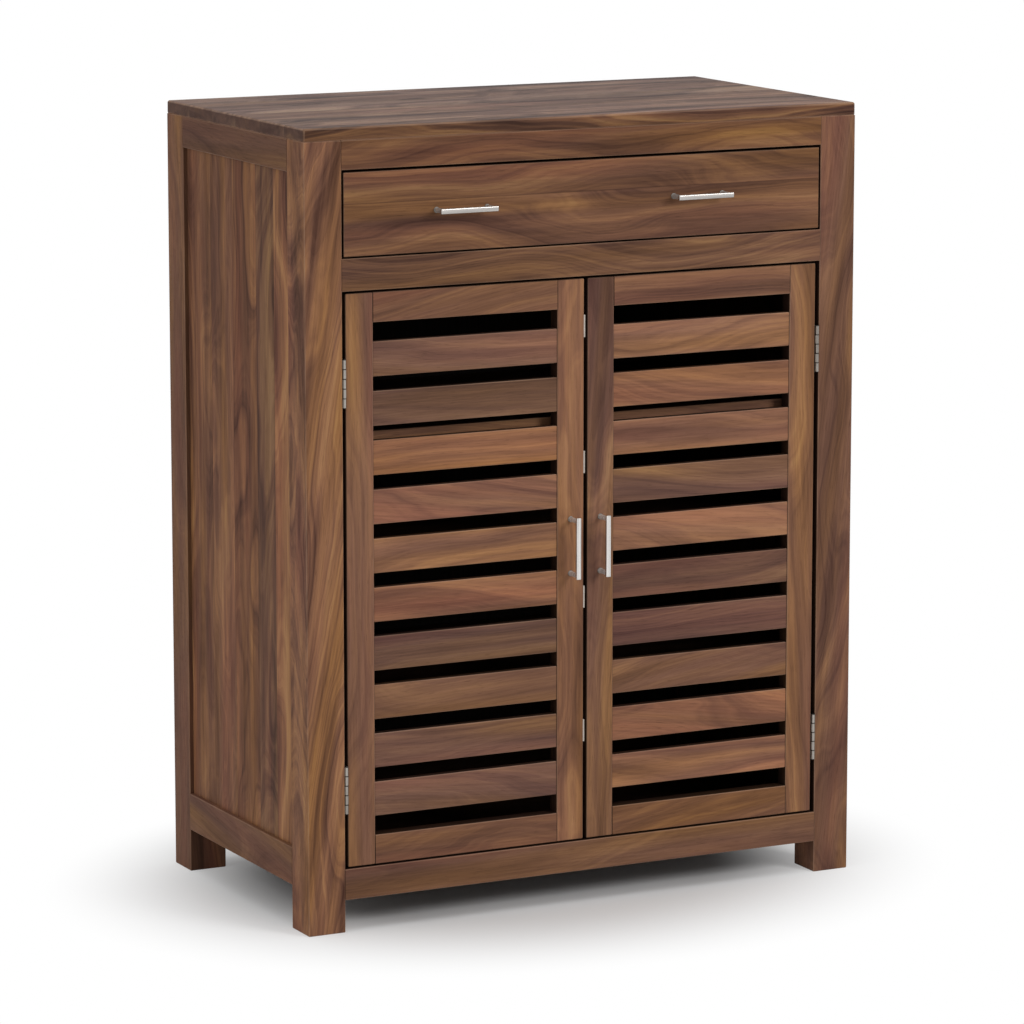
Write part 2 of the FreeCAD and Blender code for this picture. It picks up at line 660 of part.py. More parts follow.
def strike(side):
    """The steel plate on the back of a meeting stile that the catch holds."""
    body = piece(f"{side}_door_strike", f"{sign(side)}stile_middle - strike_wide / 2", "door_back",
                 "strike_low")
    block(body, "Plate", "0", "0", "0", "strike_wide", "strike_thick", "strike_tall")


def build_carcass():
    for side in SIDES:
        front_post(side)
        rear_post(side)
        for name, z, height in SIDE_RAILS:
            side_rail(side, name, z, height)
        side_panel(side)
        drawer_guides(side)
    for name, z, height in FRONT_RAILS:
        cross_rail(f"front_{name}_rail", "front", z, height, "tenon_land")
    for name, z, height in SIDE_RAILS:
        rear_rail(name, z, height)
    back_panel()
    top_board()
    notched_board("bottom_board", "door_sill", "bottom_thick", "half - rail_thick - shelf_fit",
                  "front + rail_thick", "back - rail_thick")
    for name in SHELVES:
        notched_board(f"{name}_shelf", f"{name}_shelf_level", "shelf_thick", "panel_back - shelf_fit",
                      "front + shelf_inset", "back_face - shelf_fit")
    shelf_cleats()
    bottom_cleats()
    drawer_stop()
    catches()


def build_drawer():
    drawer_front()
    for side in SIDES:
        drawer_side(side)
    drawer_back_and_bottom()
    level = "drawer_foot + drawer_tall / 2"
    for side in SIDES:
        x = f"{sign(side)}drawer_handle_spread / 2 - drawer_handle_left"
        handle(f"drawer_{side}_handle", x, "front", level, upright=False)


def build_door(side):
    for place in ("hinge", "meeting"):
        stile(side, place)
    for name in ("bottom", "top"):
        door_rail(side, name)
    slats(side)
    handle(f"{side}_door_handle", f"{sign(side)}stile_middle", "door_front", "door_handle_level",
           upright=True)
    strike(side)
    outward = -1 if side == "left" else 1
    hinge_leaf(side, "frame", outward)
    hinge_leaf(side, "door", -outward)


def check_and_write():
    """Stops on a failed feature, empty cut or broken solid, then writes one STEP file for each piece."""
    for item in doc.Objects:
        if {"Invalid", "Error"} & set(item.State):
            raise RuntimeError(f"{item.Name} failed: {item.State}")
    for item in cuts:
        if item.Shape.Volume > item.BaseFeature.Shape.Volume - 0.1:
            raise RuntimeError(f"{item.Name} cuts nothing")
    os.makedirs("parts", exist_ok=True)
    for label, (body, solids) in pieces.items():
        shape = body.Shape
        if shape.isNull() or not shape.isValid():
            raise RuntimeError(f"{label} is not a valid shape")
        if len(shape.Solids) != solids:
            raise RuntimeError(f"{label} has {len(shape.Solids)} solids, not {solids}")
        shape.exportStep(f"parts/{label}.step")


build_carcass()
build_drawer()
for each_side in SIDES:
    build_door(each_side)
buffers()
hinge_pins()
doc.recompute()
check_and_write()
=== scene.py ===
"""Looks of the louvred door cabinet: its woods, its metals, its screws, the studio and the camera.

Lengths and places are in metres, with x to the right, y to the back and z up, as in the frame.
"""

import json
import math

import bmesh
import bpy
from mathutils import Matrix, Vector

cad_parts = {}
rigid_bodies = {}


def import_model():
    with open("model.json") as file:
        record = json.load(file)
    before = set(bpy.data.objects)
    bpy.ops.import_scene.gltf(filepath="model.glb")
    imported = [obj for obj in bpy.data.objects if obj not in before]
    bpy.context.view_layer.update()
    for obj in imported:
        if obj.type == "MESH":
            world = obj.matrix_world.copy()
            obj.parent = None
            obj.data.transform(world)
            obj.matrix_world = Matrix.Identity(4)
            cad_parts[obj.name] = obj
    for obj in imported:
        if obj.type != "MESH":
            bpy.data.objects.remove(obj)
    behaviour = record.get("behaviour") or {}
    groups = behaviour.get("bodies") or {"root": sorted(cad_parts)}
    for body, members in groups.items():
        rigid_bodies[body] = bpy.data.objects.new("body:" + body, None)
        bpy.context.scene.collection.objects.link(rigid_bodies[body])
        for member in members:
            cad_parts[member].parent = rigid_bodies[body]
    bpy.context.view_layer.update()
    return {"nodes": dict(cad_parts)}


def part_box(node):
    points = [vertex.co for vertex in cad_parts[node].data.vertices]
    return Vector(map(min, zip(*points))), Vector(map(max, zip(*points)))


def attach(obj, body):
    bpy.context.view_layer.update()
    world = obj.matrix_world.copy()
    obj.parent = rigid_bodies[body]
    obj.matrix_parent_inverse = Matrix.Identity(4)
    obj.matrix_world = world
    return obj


for thing in list(bpy.data.objects):
    bpy.data.objects.remove(thing)

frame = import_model()
nodes = frame["nodes"]


# ---------------------------------------------------------------- places taken from the frame

def low(name, axis):
    """The lowest x, y or z of a CAD node."""
    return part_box(name)[0]["xyz".index(axis)]


def high(name, axis):
    """The highest x, y or z of a CAD node."""
    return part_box(name)[1]["xyz".index(axis)]


def glue_joints(first, *widths):
    """Where boards meet that are glued side by side: each of these widths ends at a joint."""
    return [first + sum(widths[:k + 1]) for k in range(len(widths))]


EASED = 0.001          # width of an eased edge
HAIR = 0.0005          # a box of painted shade reaches this far past the faces that it colours
SHADE_RIM = 0.001      # outside its box painted shade fades out over this distance

# Boxes of painted shade, for the shade inside the cabinet and round the openings of its frame, and the
# boxes within which the edges of the doors and the drawer front begin, which get painted shade outside
# them. Each is (low x, y, z), (high x, y, z), read with |x|, and None leaves a side open.
INSIDE_SHADE = ((None, low("upper_shelf", "y") + HAIR / 2, low("bottom_board", "z")),
          (low("right_side_panel", "x") + HAIR, low("back_panel", "y") - HAIR / 2,
           low("top_board", "z")))
SHADE_BEHIND_SHELF_EDGES = (None, INSIDE_SHADE[0][1] + EASED, INSIDE_SHADE[0][2]), INSIDE_SHADE[1]
OPENING_SHADE = ((None, low("drawer_front", "y") + 2 * EASED, high("front_lower_rail", "z") - HAIR),
            (low("front_right_post", "x") + HAIR, None, low("front_upper_rail", "z") + HAIR))
DOOR_FACES = ((low("right_door_meeting_stile", "x") + EASED, None,
               low("right_door_hinge_stile", "z") + EASED),
              (high("right_door_hinge_stile", "x") - EASED, None,
               high("right_door_hinge_stile", "z") - EASED))
BETWEEN_STILES = ((high("right_door_meeting_stile", "x") + EASED, None, None),
                  (low("right_door_hinge_stile", "x") - EASED, None, None))
DRAWER_FACE = ((None, None, low("drawer_front", "z") + EASED),
               (high("drawer_front", "x") - EASED, None, high("drawer_front", "z") - EASED))

# The face of each rear post that looks into the recess of the side panel, which gets painted shade
PANEL_REVEAL_SHADE = ((low("right_side_panel", "x"), low("rear_left_post", "y") - EASED, None),
                 (high("rear_right_post", "x") - 1.5 * EASED, low("rear_left_post", "y") + HAIR, None))

# Sizes of the part that no box of the frame tells
BAR_THICK = 0.004      # of a handle's bar
POST_INSET = 0.0045    # from the end of a handle to the middle of its post
HINGE_LENGTH = 0.060
KNUCKLES = 5           # of each hinge
LEAF = 0.001           # thickness of a hinge leaf
SLAT_COUNT = 10        # of each door
SLAT_HEIGHT = 0.043

# Where the lower and the upper hinge of a door begin
HINGE_FEET = low("hinge_pins", "z"), high("hinge_pins", "z") - HINGE_LENGTH
DOOR_FRONT = low("left_door_hinge_stile", "y")

SLAT_PITCH = ((high("left_door_slats", "z") - low("left_door_slats", "z") - SLAT_HEIGHT)
              / (SLAT_COUNT - 1))
SLAT_TOPS = [low("left_door_slats", "z") + SLAT_HEIGHT + SLAT_PITCH * k for k in range(SLAT_COUNT - 1)]


# ---------------------------------------------------------------- node trees

def tint(red, green, blue):
    """A colour written as 0-255 display values, in the linear values that a socket takes."""
    def linear(value):
        value /= 255
        return value / 12.92 if value <= 0.04045 else ((value + 0.055) / 1.055) ** 2.4
    return linear(red), linear(green), linear(blue), 1.0


def rgb(red, green, blue):
    """A colour in linear values, or what each of a colour's values is multiplied by."""
    return red, green, blue, 1.0


WHITE = rgb(1, 1, 1)

# The sockets of a Mix node that mixes colours
MIX_SHARE, MIX_FIRST, MIX_SECOND, MIX_RESULT = 0, 6, 7, 2


class Graph:
    """A node tree written as short calls. Each call hands back the socket it makes."""

    def __init__(self, tree):
        self.tree = tree

    def node(self, kind, sockets=None, **settings):
        """A new node with its settings, and with values or links put on its named sockets."""
        node = self.tree.nodes.new("ShaderNode" + kind)
        for name, value in settings.items():
            setattr(node, name, value)
        for name, value in (sockets or {}).items():
            self.put(node.inputs[name], value)
        return node

    def put(self, socket, value):
        """Link another socket to this one, or set it to a plain value."""
        if isinstance(value, bpy.types.NodeSocket):
            self.tree.links.new(value, socket)
        else:
            socket.default_value = value

    def math(self, operation, *values):
        node = self.node("Math", operation=operation)
        for socket, value in zip(node.inputs, values):
            self.put(socket, value)
        return node.outputs[0]

    def in_turn(self, operation, values):
        """The operation on the first two values, then on its result and the third, and so on."""
        total = values[0]
        for value in values[1:]:
            total = self.math(operation, total, value)
        return total

    def add(self, *values):
        return self.in_turn("ADD", values)

    def times(self, *values):
        return self.in_turn("MULTIPLY", values)

    def least(self, *values):
        return self.in_turn("MINIMUM", values)

    def most(self, *values):
        return self.in_turn("MAXIMUM", values)

    def unsigned(self, value):
        """A value without its sign."""
        return self.math("ABSOLUTE", value)

    def centred(self, value, size):
        """A value from 0 to 1, as -size/2 to size/2."""
        return self.math("MULTIPLY", self.math("SUBTRACT", value, 0.5), size)

    def remap(self, value, start, end, to_start=0.0, to_end=1.0, curve="LINEAR"):
        """Start to end becomes to_start to to_end, and values beyond them are held there."""
        node = self.node("MapRange", {"Value": value, "From Min": start, "From Max": end,
                                      "To Min": to_start, "To Max": to_end}, interpolation_type=curve)
        return node.outputs[0]

    def steps(self, value, edges, levels):
        """The first level below the first edge, the second level below the second edge, and so on."""
        total = levels[0]
        for edge, below, level in zip(edges, levels, levels[1:]):
            total = self.add(total, self.times(self.math("GREATER_THAN", value, edge), level - below))
        return total

    def point(self, x, y, z):
        return self.node("CombineXYZ", {"X": x, "Y": y, "Z": z}).outputs[0]

    def parts(self, vector):
        return self.node("SeparateXYZ", {"Vector": vector}).outputs[:3]

    def place(self):
        """Where a spot of the surface is: its x, y and z by name."""
        return dict(zip("xyz", self.parts(self.node("TexCoord").outputs["Object"])))

    def normal(self):
        """Which way a spot of the surface looks: the x, y and z of its normal by name."""
        return dict(zip("xyz", self.parts(self.node("TexCoord").outputs["Normal"])))

    def noise(self, place, rates, detail, roughness=0.5):
        """Noise over a place (three sockets), each stretched by its own rate per metre.

        It hands back the noise as a value and as a colour of three values.
        """
        stretched = self.point(*(self.times(value, rate) for value, rate in zip(place, rates)))
        node = self.node("TexNoise", {"Vector": stretched, "Scale": 1.0, "Detail": detail,
                                      "Roughness": roughness})
        return node.outputs[0], node.outputs[1]

    def bands(self, place, rate, detail, roughness):
        """Noise over one socket, stretched by a rate per metre."""
        node = self.node("TexNoise", {"W": self.times(place, rate), "Scale": 1.0, "Detail": detail,
                                      "Roughness": roughness}, noise_dimensions="1D")
        return node.outputs[0]

    def ramp(self, value, *stops):
        """A colour between stops of (position, colour)."""
        node = self.node("ValToRGB", {"Fac": value})
        ramp = node.color_ramp
        while len(ramp.elements) < len(stops):
            ramp.elements.new(0.5)
        for element, (position, colour) in zip(ramp.elements, stops):
            element.position = position
            element.color = colour
        return node.outputs[0]

    def mix(self, share, first, second, blend="MIX"):
        """The second colour laid over the first."""
        node = self.node("Mix", data_type="RGBA", blend_type=blend)
        self.put(node.inputs[MIX_SHARE], share)
        self.put(node.inputs[MIX_FIRST], first)
        self.put(node.inputs[MIX_SECOND], second)
        return node.outputs[MIX_RESULT]

    def shaded(self, colour, shade):
        """A colour multiplied by another."""
        return self.mix(1.0, colour, shade, "MULTIPLY")

    def within(self, place, corners):
        """1 inside a box and 0 outside. The box reads |x|, and None leaves one of its sides open."""
        spots = (self.unsigned(place["x"]), place["y"], place["z"])
        shares = []
        for spot, start, end in zip(spots, *corners):
            if start is not None:
                shares.append(self.remap(spot, start - SHADE_RIM, start))
            if end is not None:
                shares.append(self.remap(spot, end + SHADE_RIM, end))
        return self.times(*shares)

    def bump(self, height, distance, strength):
        return self.node("Bump", {"Height": height, "Distance": distance,
                                  "Strength": strength}).outputs[0]

    def seen(self):
        """1 on rays that come from the camera or from a mirroring surface, and 0 on the others."""
        rays = self.node("LightPath").outputs
        return self.math("MINIMUM", self.add(rays["Is Camera Ray"], rays["Is Glossy Ray"],
                                             rays["Is Transmission Ray"]), 1.0)


def material(name):
    """A new node material: the material, its graph and its shader."""
    made = bpy.data.materials.new(name)
    made.use_nodes = True
    return made, Graph(made.node_tree), made.node_tree.nodes["Principled BSDF"]


# ---------------------------------------------------------------- rosewood

# How fast each layer changes (along, across, through) the grain, per metre, and its noise detail
WANDER = (2.4, 7.0, 7.0), 1.0
RIPPLE = (5.0, 20.0, 20.0), 2.0
BLOTCHES = (2.4, 26.0, 26.0), 1.0
CLOUDS = (6.0, 95.0, 95.0), 3.0
HUES = (1.7, 24.0, 24.0), 1.0
FIBRES = (14.0, 420.0, 420.0), 2.0
PORES = (60.0, 1300.0, 1300.0), 1.0

# The same from the trunk's centre line outward: rate, detail and noise roughness
STREAKS = 40.0, 3.0, 0.55
LINES = 300.0, 2.0, 0.6

# How a board is cut from the trunk
TRUNK = 40.0           # a board starts up to this far along it
LEAN = 0.16            # the steepest slope of a board's grain
LEAN_POWER = 3.0       # the higher, the fewer boards are cut far out of line
WANDER_REACH = 0.150   # how far the trunk's centre line wanders in all
RIPPLE_REACH = 0.030   # how far it ripples in all
ASIDE = 0.12           # the range of its place beside the board
BEHIND = 0.015         # how far behind the board it lies at least
BEHIND_RANGE = 0.06    # and how much further at most
RING_RANGE = 9.0       # each board's rings are numbered from a chance start in this range

# The share of each layer in the figure, and the colours from its darkest to its palest wood
STREAK_SHARE = 0.66
BLOTCH_SHARE = 0.40
LINE_SHARE = 0.20
CLOUD_SHARE = 0.36
FIGURE_COLOURS = ((0.20, tint(75, 51, 44)), (0.36, tint(103, 73, 61)), (0.50, tint(127, 91, 72)),
                  (0.62, tint(147, 107, 80)), (0.78, tint(172, 131, 94)))
HUE_CASTS = (0.30, rgb(1.03, 0.92, 0.96)), (0.50, WHITE), (0.70, rgb(1.06, 1.04, 0.80))
WARMTH_CASTS = (0.0, rgb(0.92, 0.98, 1.15)), (0.5, WHITE), (1.0, rgb(1.05, 0.96, 0.82))
CHANCE_WARMTH = 0.5    # the range of a board's warmth by chance
GIVEN_WARMTH = 0.5     # what a Warmth of 1 adds to it
FIBRE_SHADES = (0.30, rgb(0.86, 0.85, 0.84)), (0.70, rgb(1.08, 1.08, 1.08))

PIT = 0.62, 0.74       # a pore is open where its noise is past the first, and deep past the second
PIT_BROWN = tint(48, 31, 26)
PIT_SHARE = 0.32
END_BROWN = tint(78, 54, 45)
END_SHARE = 0.65
END_TURN = 0.80, 0.95  # the normal's part along the grain where end grain begins, and is full

EDGE_TURN = 0.985, 0.90            # the normal's largest part where rubbing and painted highlight begin, and are full
RUBBED_AND_HIGHLIT_PATCHES = 0.30, 0.60, 0.35, 1.0     # the clouds vary how far an edge is rubbed and painted with highlight
# Painted highlight on eased edges in this tan, which also stands for their rubbing
HIGHLIGHT_TAN = tint(184, 150, 126)
HIGHLIGHT_SHARE = 0.36

FIGURE_RANGE = 0.2, 0.8
ROUGHNESS = 0.54, 0.40             # of its darkest and its palest wood
PIT_ROUGHER = 0.2
RUBBED_ROUGHER = -0.08
PIT_HEIGHT = -0.8                  # beside the fibres' height of 1
WOOD_BUMP = 0.00012, 0.5           # distance and strength
WOOD_SPECULAR = 0.05               # of the rails, the doors, the drawer front and the shelves
SIDE_SPECULAR = 0.03               # of the posts, the side rails and the side panels
TOP_SPECULAR = 0.065

BOARD_BRIGHTNESS = 1.10            # a board this bright beside the others keeps its warmth
WARMER = 2.4                       # how much warmer it gets as it gets brighter
GLUE_LINE = 0.0009, 0.0003         # distances from a joint where its line begins, and is full
GLUE_SHARE = 0.35
GLUE_BROWN = tint(52, 34, 28)

# Painted shade: inside the cabinet and on faces in the gaps the wood is painted this dark brown for the
# shade that falls there
SHADE_BROWN = tint(26, 18, 15)
SHADE_SHARE = 0.88
REVEAL_SHADE_SHARE = 0.45                # how much of the painted shade the recess of the side panel gets
SIDE_TURN = 0.60, 0.30             # the normal's part along y where painted shade on a front's edge begins, and is full


def cut_board(g, given):
    """The wood's own (along, across, through) of a spot, and three chance values of its board."""
    along, across, through = g.parts(given.outputs["Place"])
    chance = g.node("TexWhiteNoise", {"W": given.outputs["Board"]}, noise_dimensions="1D")
    luck = g.parts(chance.outputs["Color"])
    start = g.add(along, g.times(luck[0], TRUNK))
    skew = g.centred(luck[2], 2.0)
    lean = g.times(g.math("POWER", g.unsigned(skew), LEAN_POWER), g.math("SIGN", skew), LEAN)
    return (start, g.add(across, g.times(along, lean)), through), luck


def ring_at(g, wood, luck):
    """How far out a spot lies among the rings, whose centre line wanders beside the board.

    The wandering makes the rings come out as flames on the board's face.
    """
    _, across, through = wood
    wander = g.parts(g.noise(wood, *WANDER)[1])
    ripple = g.parts(g.noise(wood, *RIPPLE)[1])
    side = g.add(across, g.centred(wander[0], WANDER_REACH), g.centred(ripple[0], RIPPLE_REACH),
                 g.centred(luck[1], ASIDE))
    deep = g.add(through, g.centred(wander[1], WANDER_REACH), g.centred(ripple[1], RIPPLE_REACH),
                 g.times(luck[2], BEHIND_RANGE), BEHIND)
    ring = g.math("SQRT", g.add(g.times(side, side), g.times(deep, deep)))
    return g.add(ring, g.times(luck[0], RING_RANGE))


def rosewood_group():
    """Figured rosewood cut from a log. Place is (along, across, through) the board in metres.

    Board is the board's own number, Tone is how bright the board is, Warmth is from -1 for greyer
    to 1 for redder wood, Figure is how strong its figure is, and End is 1 on end grain.
    """
    tree = bpy.data.node_groups.new("rosewood", "ShaderNodeTree")
    tree.interface.new_socket("Place", in_out="INPUT", socket_type="NodeSocketVector")
    for name in ("Board", "Tone", "Warmth", "Figure", "End"):
        tree.interface.new_socket(name, in_out="INPUT", socket_type="NodeSocketFloat")
    tree.interface.new_socket("Colour", in_out="OUTPUT", socket_type="NodeSocketColor")
    for name in ("Roughness", "Height"):
        tree.interface.new_socket(name, in_out="OUTPUT", socket_type="NodeSocketFloat")
    g = Graph(tree)
    given = tree.nodes.new("NodeGroupInput")
    wood, luck = cut_board(g, given)

    ring = ring_at(g, wood, luck)
    streaks = g.bands(ring, *STREAKS)
    lines = g.bands(ring, *LINES)
    blotch = g.noise(wood, *BLOTCHES)[0]
    cloud = g.noise(wood, *CLOUDS)[0]
    figure = g.add(g.centred(streaks, STREAK_SHARE), g.centred(blotch, BLOTCH_SHARE),
                   g.centred(lines, LINE_SHARE), g.centred(cloud, CLOUD_SHARE))
    figure = g.add(g.times(figure, given.outputs["Figure"]), 0.5)

    colour = g.ramp(figure, *FIGURE_COLOURS)
    colour = g.shaded(colour, g.ramp(g.noise(wood, *HUES)[0], *HUE_CASTS))
    warmth = g.add(g.centred(luck[1], CHANCE_WARMTH), g.times(given.outputs["Warmth"], GIVEN_WARMTH),
                   0.5)
    colour = g.shaded(colour, g.ramp(warmth, *WARMTH_CASTS))

    # fibres and open pores run with the grain
    fibre = g.noise(wood, *FIBRES)[0]
    pit = g.remap(g.noise(wood, *PORES)[0], *PIT)
    colour = g.shaded(colour, g.ramp(fibre, *FIBRE_SHADES))
    colour = g.mix(g.times(pit, PIT_SHARE), colour, PIT_BROWN)
    tone = given.outputs["Tone"]
    colour = g.shaded(colour, g.point(tone, tone, tone))
    colour = g.mix(g.times(given.outputs["End"], END_SHARE), colour, END_BROWN)

    # eased edges get a painted highlight, paler, and are rubbed smoother: only there does a face look
    # askew
    square = g.most(*(g.unsigned(part) for part in g.normal().values()))
    rubbed_and_highlit = g.times(g.remap(square, *EDGE_TURN), g.remap(cloud, *RUBBED_AND_HIGHLIT_PATCHES))
    colour = g.mix(g.times(rubbed_and_highlit, HIGHLIGHT_SHARE), colour, HIGHLIGHT_TAN)

    told = tree.nodes.new("NodeGroupOutput")
    g.put(told.inputs["Colour"], colour)
    g.put(told.inputs["Roughness"], g.add(g.remap(figure, *FIGURE_RANGE, *ROUGHNESS),
                                          g.times(pit, PIT_ROUGHER), g.times(rubbed_and_highlit, RUBBED_ROUGHER)))
    g.put(told.inputs["Height"], g.add(fibre, g.times(pit, PIT_HEIGHT)))
    return tree


ROSEWOOD = rosewood_group()


def rosewood(name, order, boards=None, specular=WOOD_SPECULAR, shade_boxes=(INSIDE_SHADE,), faces=(),
             glued=False, reveal_shade=None):
    """Rosewood whose grain runs along the first axis in order. A board's number, tone, warmth and
    figure are on its object.

    boards is (axis, edges, tones) where one object is made of several boards along an axis; each
    then gets its own piece of the tree, and glued draws the joints between them. The wood gets a dark
    painted shade within the boxes of shade that it is given, and a little of it within the box of the
    side panel's recess. Where faces is given, its front shows wood within all of those boxes, and its
    edges get painted shade.
    """
    made, g, shader = material(name)
    place = g.place()
    number, tone, warmth, figure = (
        g.node("Attribute", attribute_type="OBJECT", attribute_name=trait).outputs["Fac"]
        for trait in ("board", "tone", "warmth", "figure"))
    if boards:
        axis, edges, tones = boards
        number = g.add(number, g.steps(place[axis], edges, range(len(tones))))
        brightness = g.steps(place[axis], edges, tones)
        tone = g.times(tone, brightness)
        # the darker a board is beside the others, the greyer it is
        warmth = g.add(warmth, g.times(g.add(brightness, -BOARD_BRIGHTNESS), WARMER))
    normal = g.normal()
    wood = g.node("Group", node_tree=ROSEWOOD)
    g.put(wood.inputs["Place"], g.point(*(place[way] for way in order)))
    g.put(wood.inputs["Board"], number)
    g.put(wood.inputs["Tone"], tone)
    g.put(wood.inputs["Warmth"], warmth)
    g.put(wood.inputs["Figure"], figure)
    g.put(wood.inputs["End"], g.remap(g.unsigned(normal[order[0]]), *END_TURN))
    colour = wood.outputs["Colour"]
    if glued:
        nearest = g.least(*(g.unsigned(g.add(place[axis], -edge)) for edge in edges))
        colour = g.mix(g.remap(nearest, *GLUE_LINE, 0.0, GLUE_SHARE), colour, GLUE_BROWN)
    # painted shade inside the cabinet and round the openings of its frame
    dark = g.most(*(g.within(place, box) for box in shade_boxes))
    if faces:
        front = g.least(*(g.within(place, box) for box in faces))
        # the sides of a front look into the gaps and get painted shade
        edge = g.remap(g.unsigned(normal["y"]), *SIDE_TURN)
        dark = g.most(dark, g.math("SUBTRACT", 1.0, front), edge)
    # a little painted shade in the recess of the side panel
    if reveal_shade:
        dark = g.most(dark, g.times(g.within(place, reveal_shade), REVEAL_SHADE_SHARE))
    colour = g.mix(g.times(dark, SHADE_SHARE), colour, SHADE_BROWN)
    g.put(shader.inputs["Base Color"], colour)
    g.put(shader.inputs["Roughness"], wood.outputs["Roughness"])
    g.put(shader.inputs["Normal"], g.bump(wood.outputs["Height"], *WOOD_BUMP))
    shader.inputs["Specular IOR Level"].default_value = specular
    return made


# ---------------------------------------------------------------- plain wood

PLAIN_SWAY = (3.0, 8.0, 8.0), 1.0  # written as for rosewood
PLAIN_SWAY_REACH = 0.03
PLAIN_GRAIN = 160.0, 3.0, 0.6
PLAIN_FIBRES_ALONG = 12.0          # per metre
PLAIN_FIBRE_DETAIL = 2.0
GRAIN_SHARE, FIBRE_SHARE = 0.6, 0.4
PLAIN_DARK, PLAIN_LIGHT = 0.32, 0.66       # where the ramp from dark to light wood begins and ends
PLAIN_RANGE = 0.2, 0.8
PLAIN_ROUGHNESS = 0.62, 0.5        # of its darkest and its palest wood
PLAIN_SPECULAR = 0.1
PLAIN_BUMP = 0.00015, 0.4


def plain_wood(name, order, light, dark, fibres=300.0):
    """Straight-grained softer wood for the parts out of sight, with this many fibres per metre."""
    made, g, shader = material(name)
    place = g.place()
    wood = tuple(place[axis] for axis in order)
    sway = g.centred(g.noise(wood, *PLAIN_SWAY)[0], PLAIN_SWAY_REACH)
    grain = g.bands(g.add(wood[1], wood[2], sway), *PLAIN_GRAIN)
    fibre = g.noise(wood, (PLAIN_FIBRES_ALONG, fibres, fibres), PLAIN_FIBRE_DETAIL)[0]
    share = g.add(g.times(grain, GRAIN_SHARE), g.times(fibre, FIBRE_SHARE))
    g.put(shader.inputs["Base Color"], g.ramp(share, (PLAIN_DARK, dark), (PLAIN_LIGHT, light)))
    g.put(shader.inputs["Roughness"], g.remap(share, *PLAIN_RANGE, *PLAIN_ROUGHNESS))
    g.put(shader.inputs["Normal"], g.bump(fibre, *PLAIN_BUMP))
    shader.inputs["Specular IOR Level"].default_value = PLAIN_SPECULAR
    return made


# ---------------------------------------------------------------- metals, plastic and felt

BRUSH_ALONG, BRUSH_ACROSS = 60.0, 2600.0   # brush marks per metre
DULL_ALONG, DULL_ACROSS = 6.0, 330.0       # dull patches per metre
METAL_DETAIL = 2.0
BRUSH_RANGE = 0.25, 0.75
DULL_RANGE = 0.35, 0.65
METAL_BUMP = 0.00002, 0.6
MATT_METALLIC = 0.45
KNUCKLE_END = 0.43, 0.465          # lengths from a knuckle's middle where it turns dark, and is dark
KNUCKLE_GREY = tint(48, 44, 42)


def metal(name, colour, dull, along, roughness=(0.24, 0.36), knuckles=False, metallic=1.0,
          matt_behind=None):
    """Brushed and plated metal. The brush marks run along one axis.

    knuckles darkens the ends of each butt hinge's knuckles, where one bears on the next. Behind the
    y of matt_behind the plating is dull.
    """
    made, g, shader = material(name)
    place = g.place()
    spot = tuple(place.values())
    rates = [BRUSH_ALONG if axis == along else BRUSH_ACROSS for axis in "xyz"]
    brush = g.noise(spot, rates, METAL_DETAIL)[0]
    rates = [DULL_ALONG if axis == along else DULL_ACROSS for axis in "xyz"]
    shade = g.mix(g.remap(g.noise(spot, rates, METAL_DETAIL)[0], *DULL_RANGE), colour, dull)
    if knuckles:
        lower, upper = HINGE_FEET
        on_upper = g.math("GREATER_THAN", place["z"], (lower + upper) / 2)
        height = g.add(place["z"], -lower, g.times(on_upper, lower - upper))
        in_knuckle = g.math("FRACT", g.times(height, KNUCKLES / HINGE_LENGTH))
        end = g.remap(g.unsigned(g.centred(in_knuckle, 1.0)), *KNUCKLE_END)
        barrel = g.remap(place["y"], DOOR_FRONT + EASED, DOOR_FRONT + EASED / 2)
        shade = g.mix(g.times(end, barrel), shade, KNUCKLE_GREY)
    g.put(shader.inputs["Base Color"], shade)
    g.put(shader.inputs["Roughness"], g.remap(brush, *BRUSH_RANGE, *roughness))
    g.put(shader.inputs["Normal"], g.bump(brush, *METAL_BUMP))
    shader.inputs["Metallic"].default_value = metallic
    if matt_behind is not None:
        g.put(shader.inputs["Metallic"], g.remap(place["y"], matt_behind, matt_behind + HAIR,
                                                 metallic, MATT_METALLIC))
    return made


# Rates per metre and noise detail, and for felt its noise roughness
PLASTIC_GRAIN = (1800.0, 1800.0, 1800.0), 2.0
PLASTIC_WEAR = (90.0, 90.0, 90.0), 2.0
FELT_HAIR = (900.0, 900.0, 900.0), 4.0, 0.7

GRAIN_RANGE = 0.3, 0.7
WEAR_RANGE = 0.35, 0.7
PLASTIC_ROUGHNESS = 0.42, 0.56
FELT_ROUGHNESS = 0.85, 0.95
FELT_SHEEN = 0.3
PLASTIC_BUMP = 0.00004, 0.6
FELT_BUMP = 0.0003, 0.7


def moulded(name, colour, worn):
    """Moulded plastic with a fine spark-eroded grain."""
    made, g, shader = material(name)
    spot = tuple(g.place().values())
    grain = g.noise(spot, *PLASTIC_GRAIN)[0]
    wear = g.noise(spot, *PLASTIC_WEAR)[0]
    g.put(shader.inputs["Base Color"], g.mix(g.remap(wear, *WEAR_RANGE), colour, worn))
    g.put(shader.inputs["Roughness"], g.remap(grain, *GRAIN_RANGE, *PLASTIC_ROUGHNESS))
    g.put(shader.inputs["Normal"], g.bump(grain, *PLASTIC_BUMP))
    return made


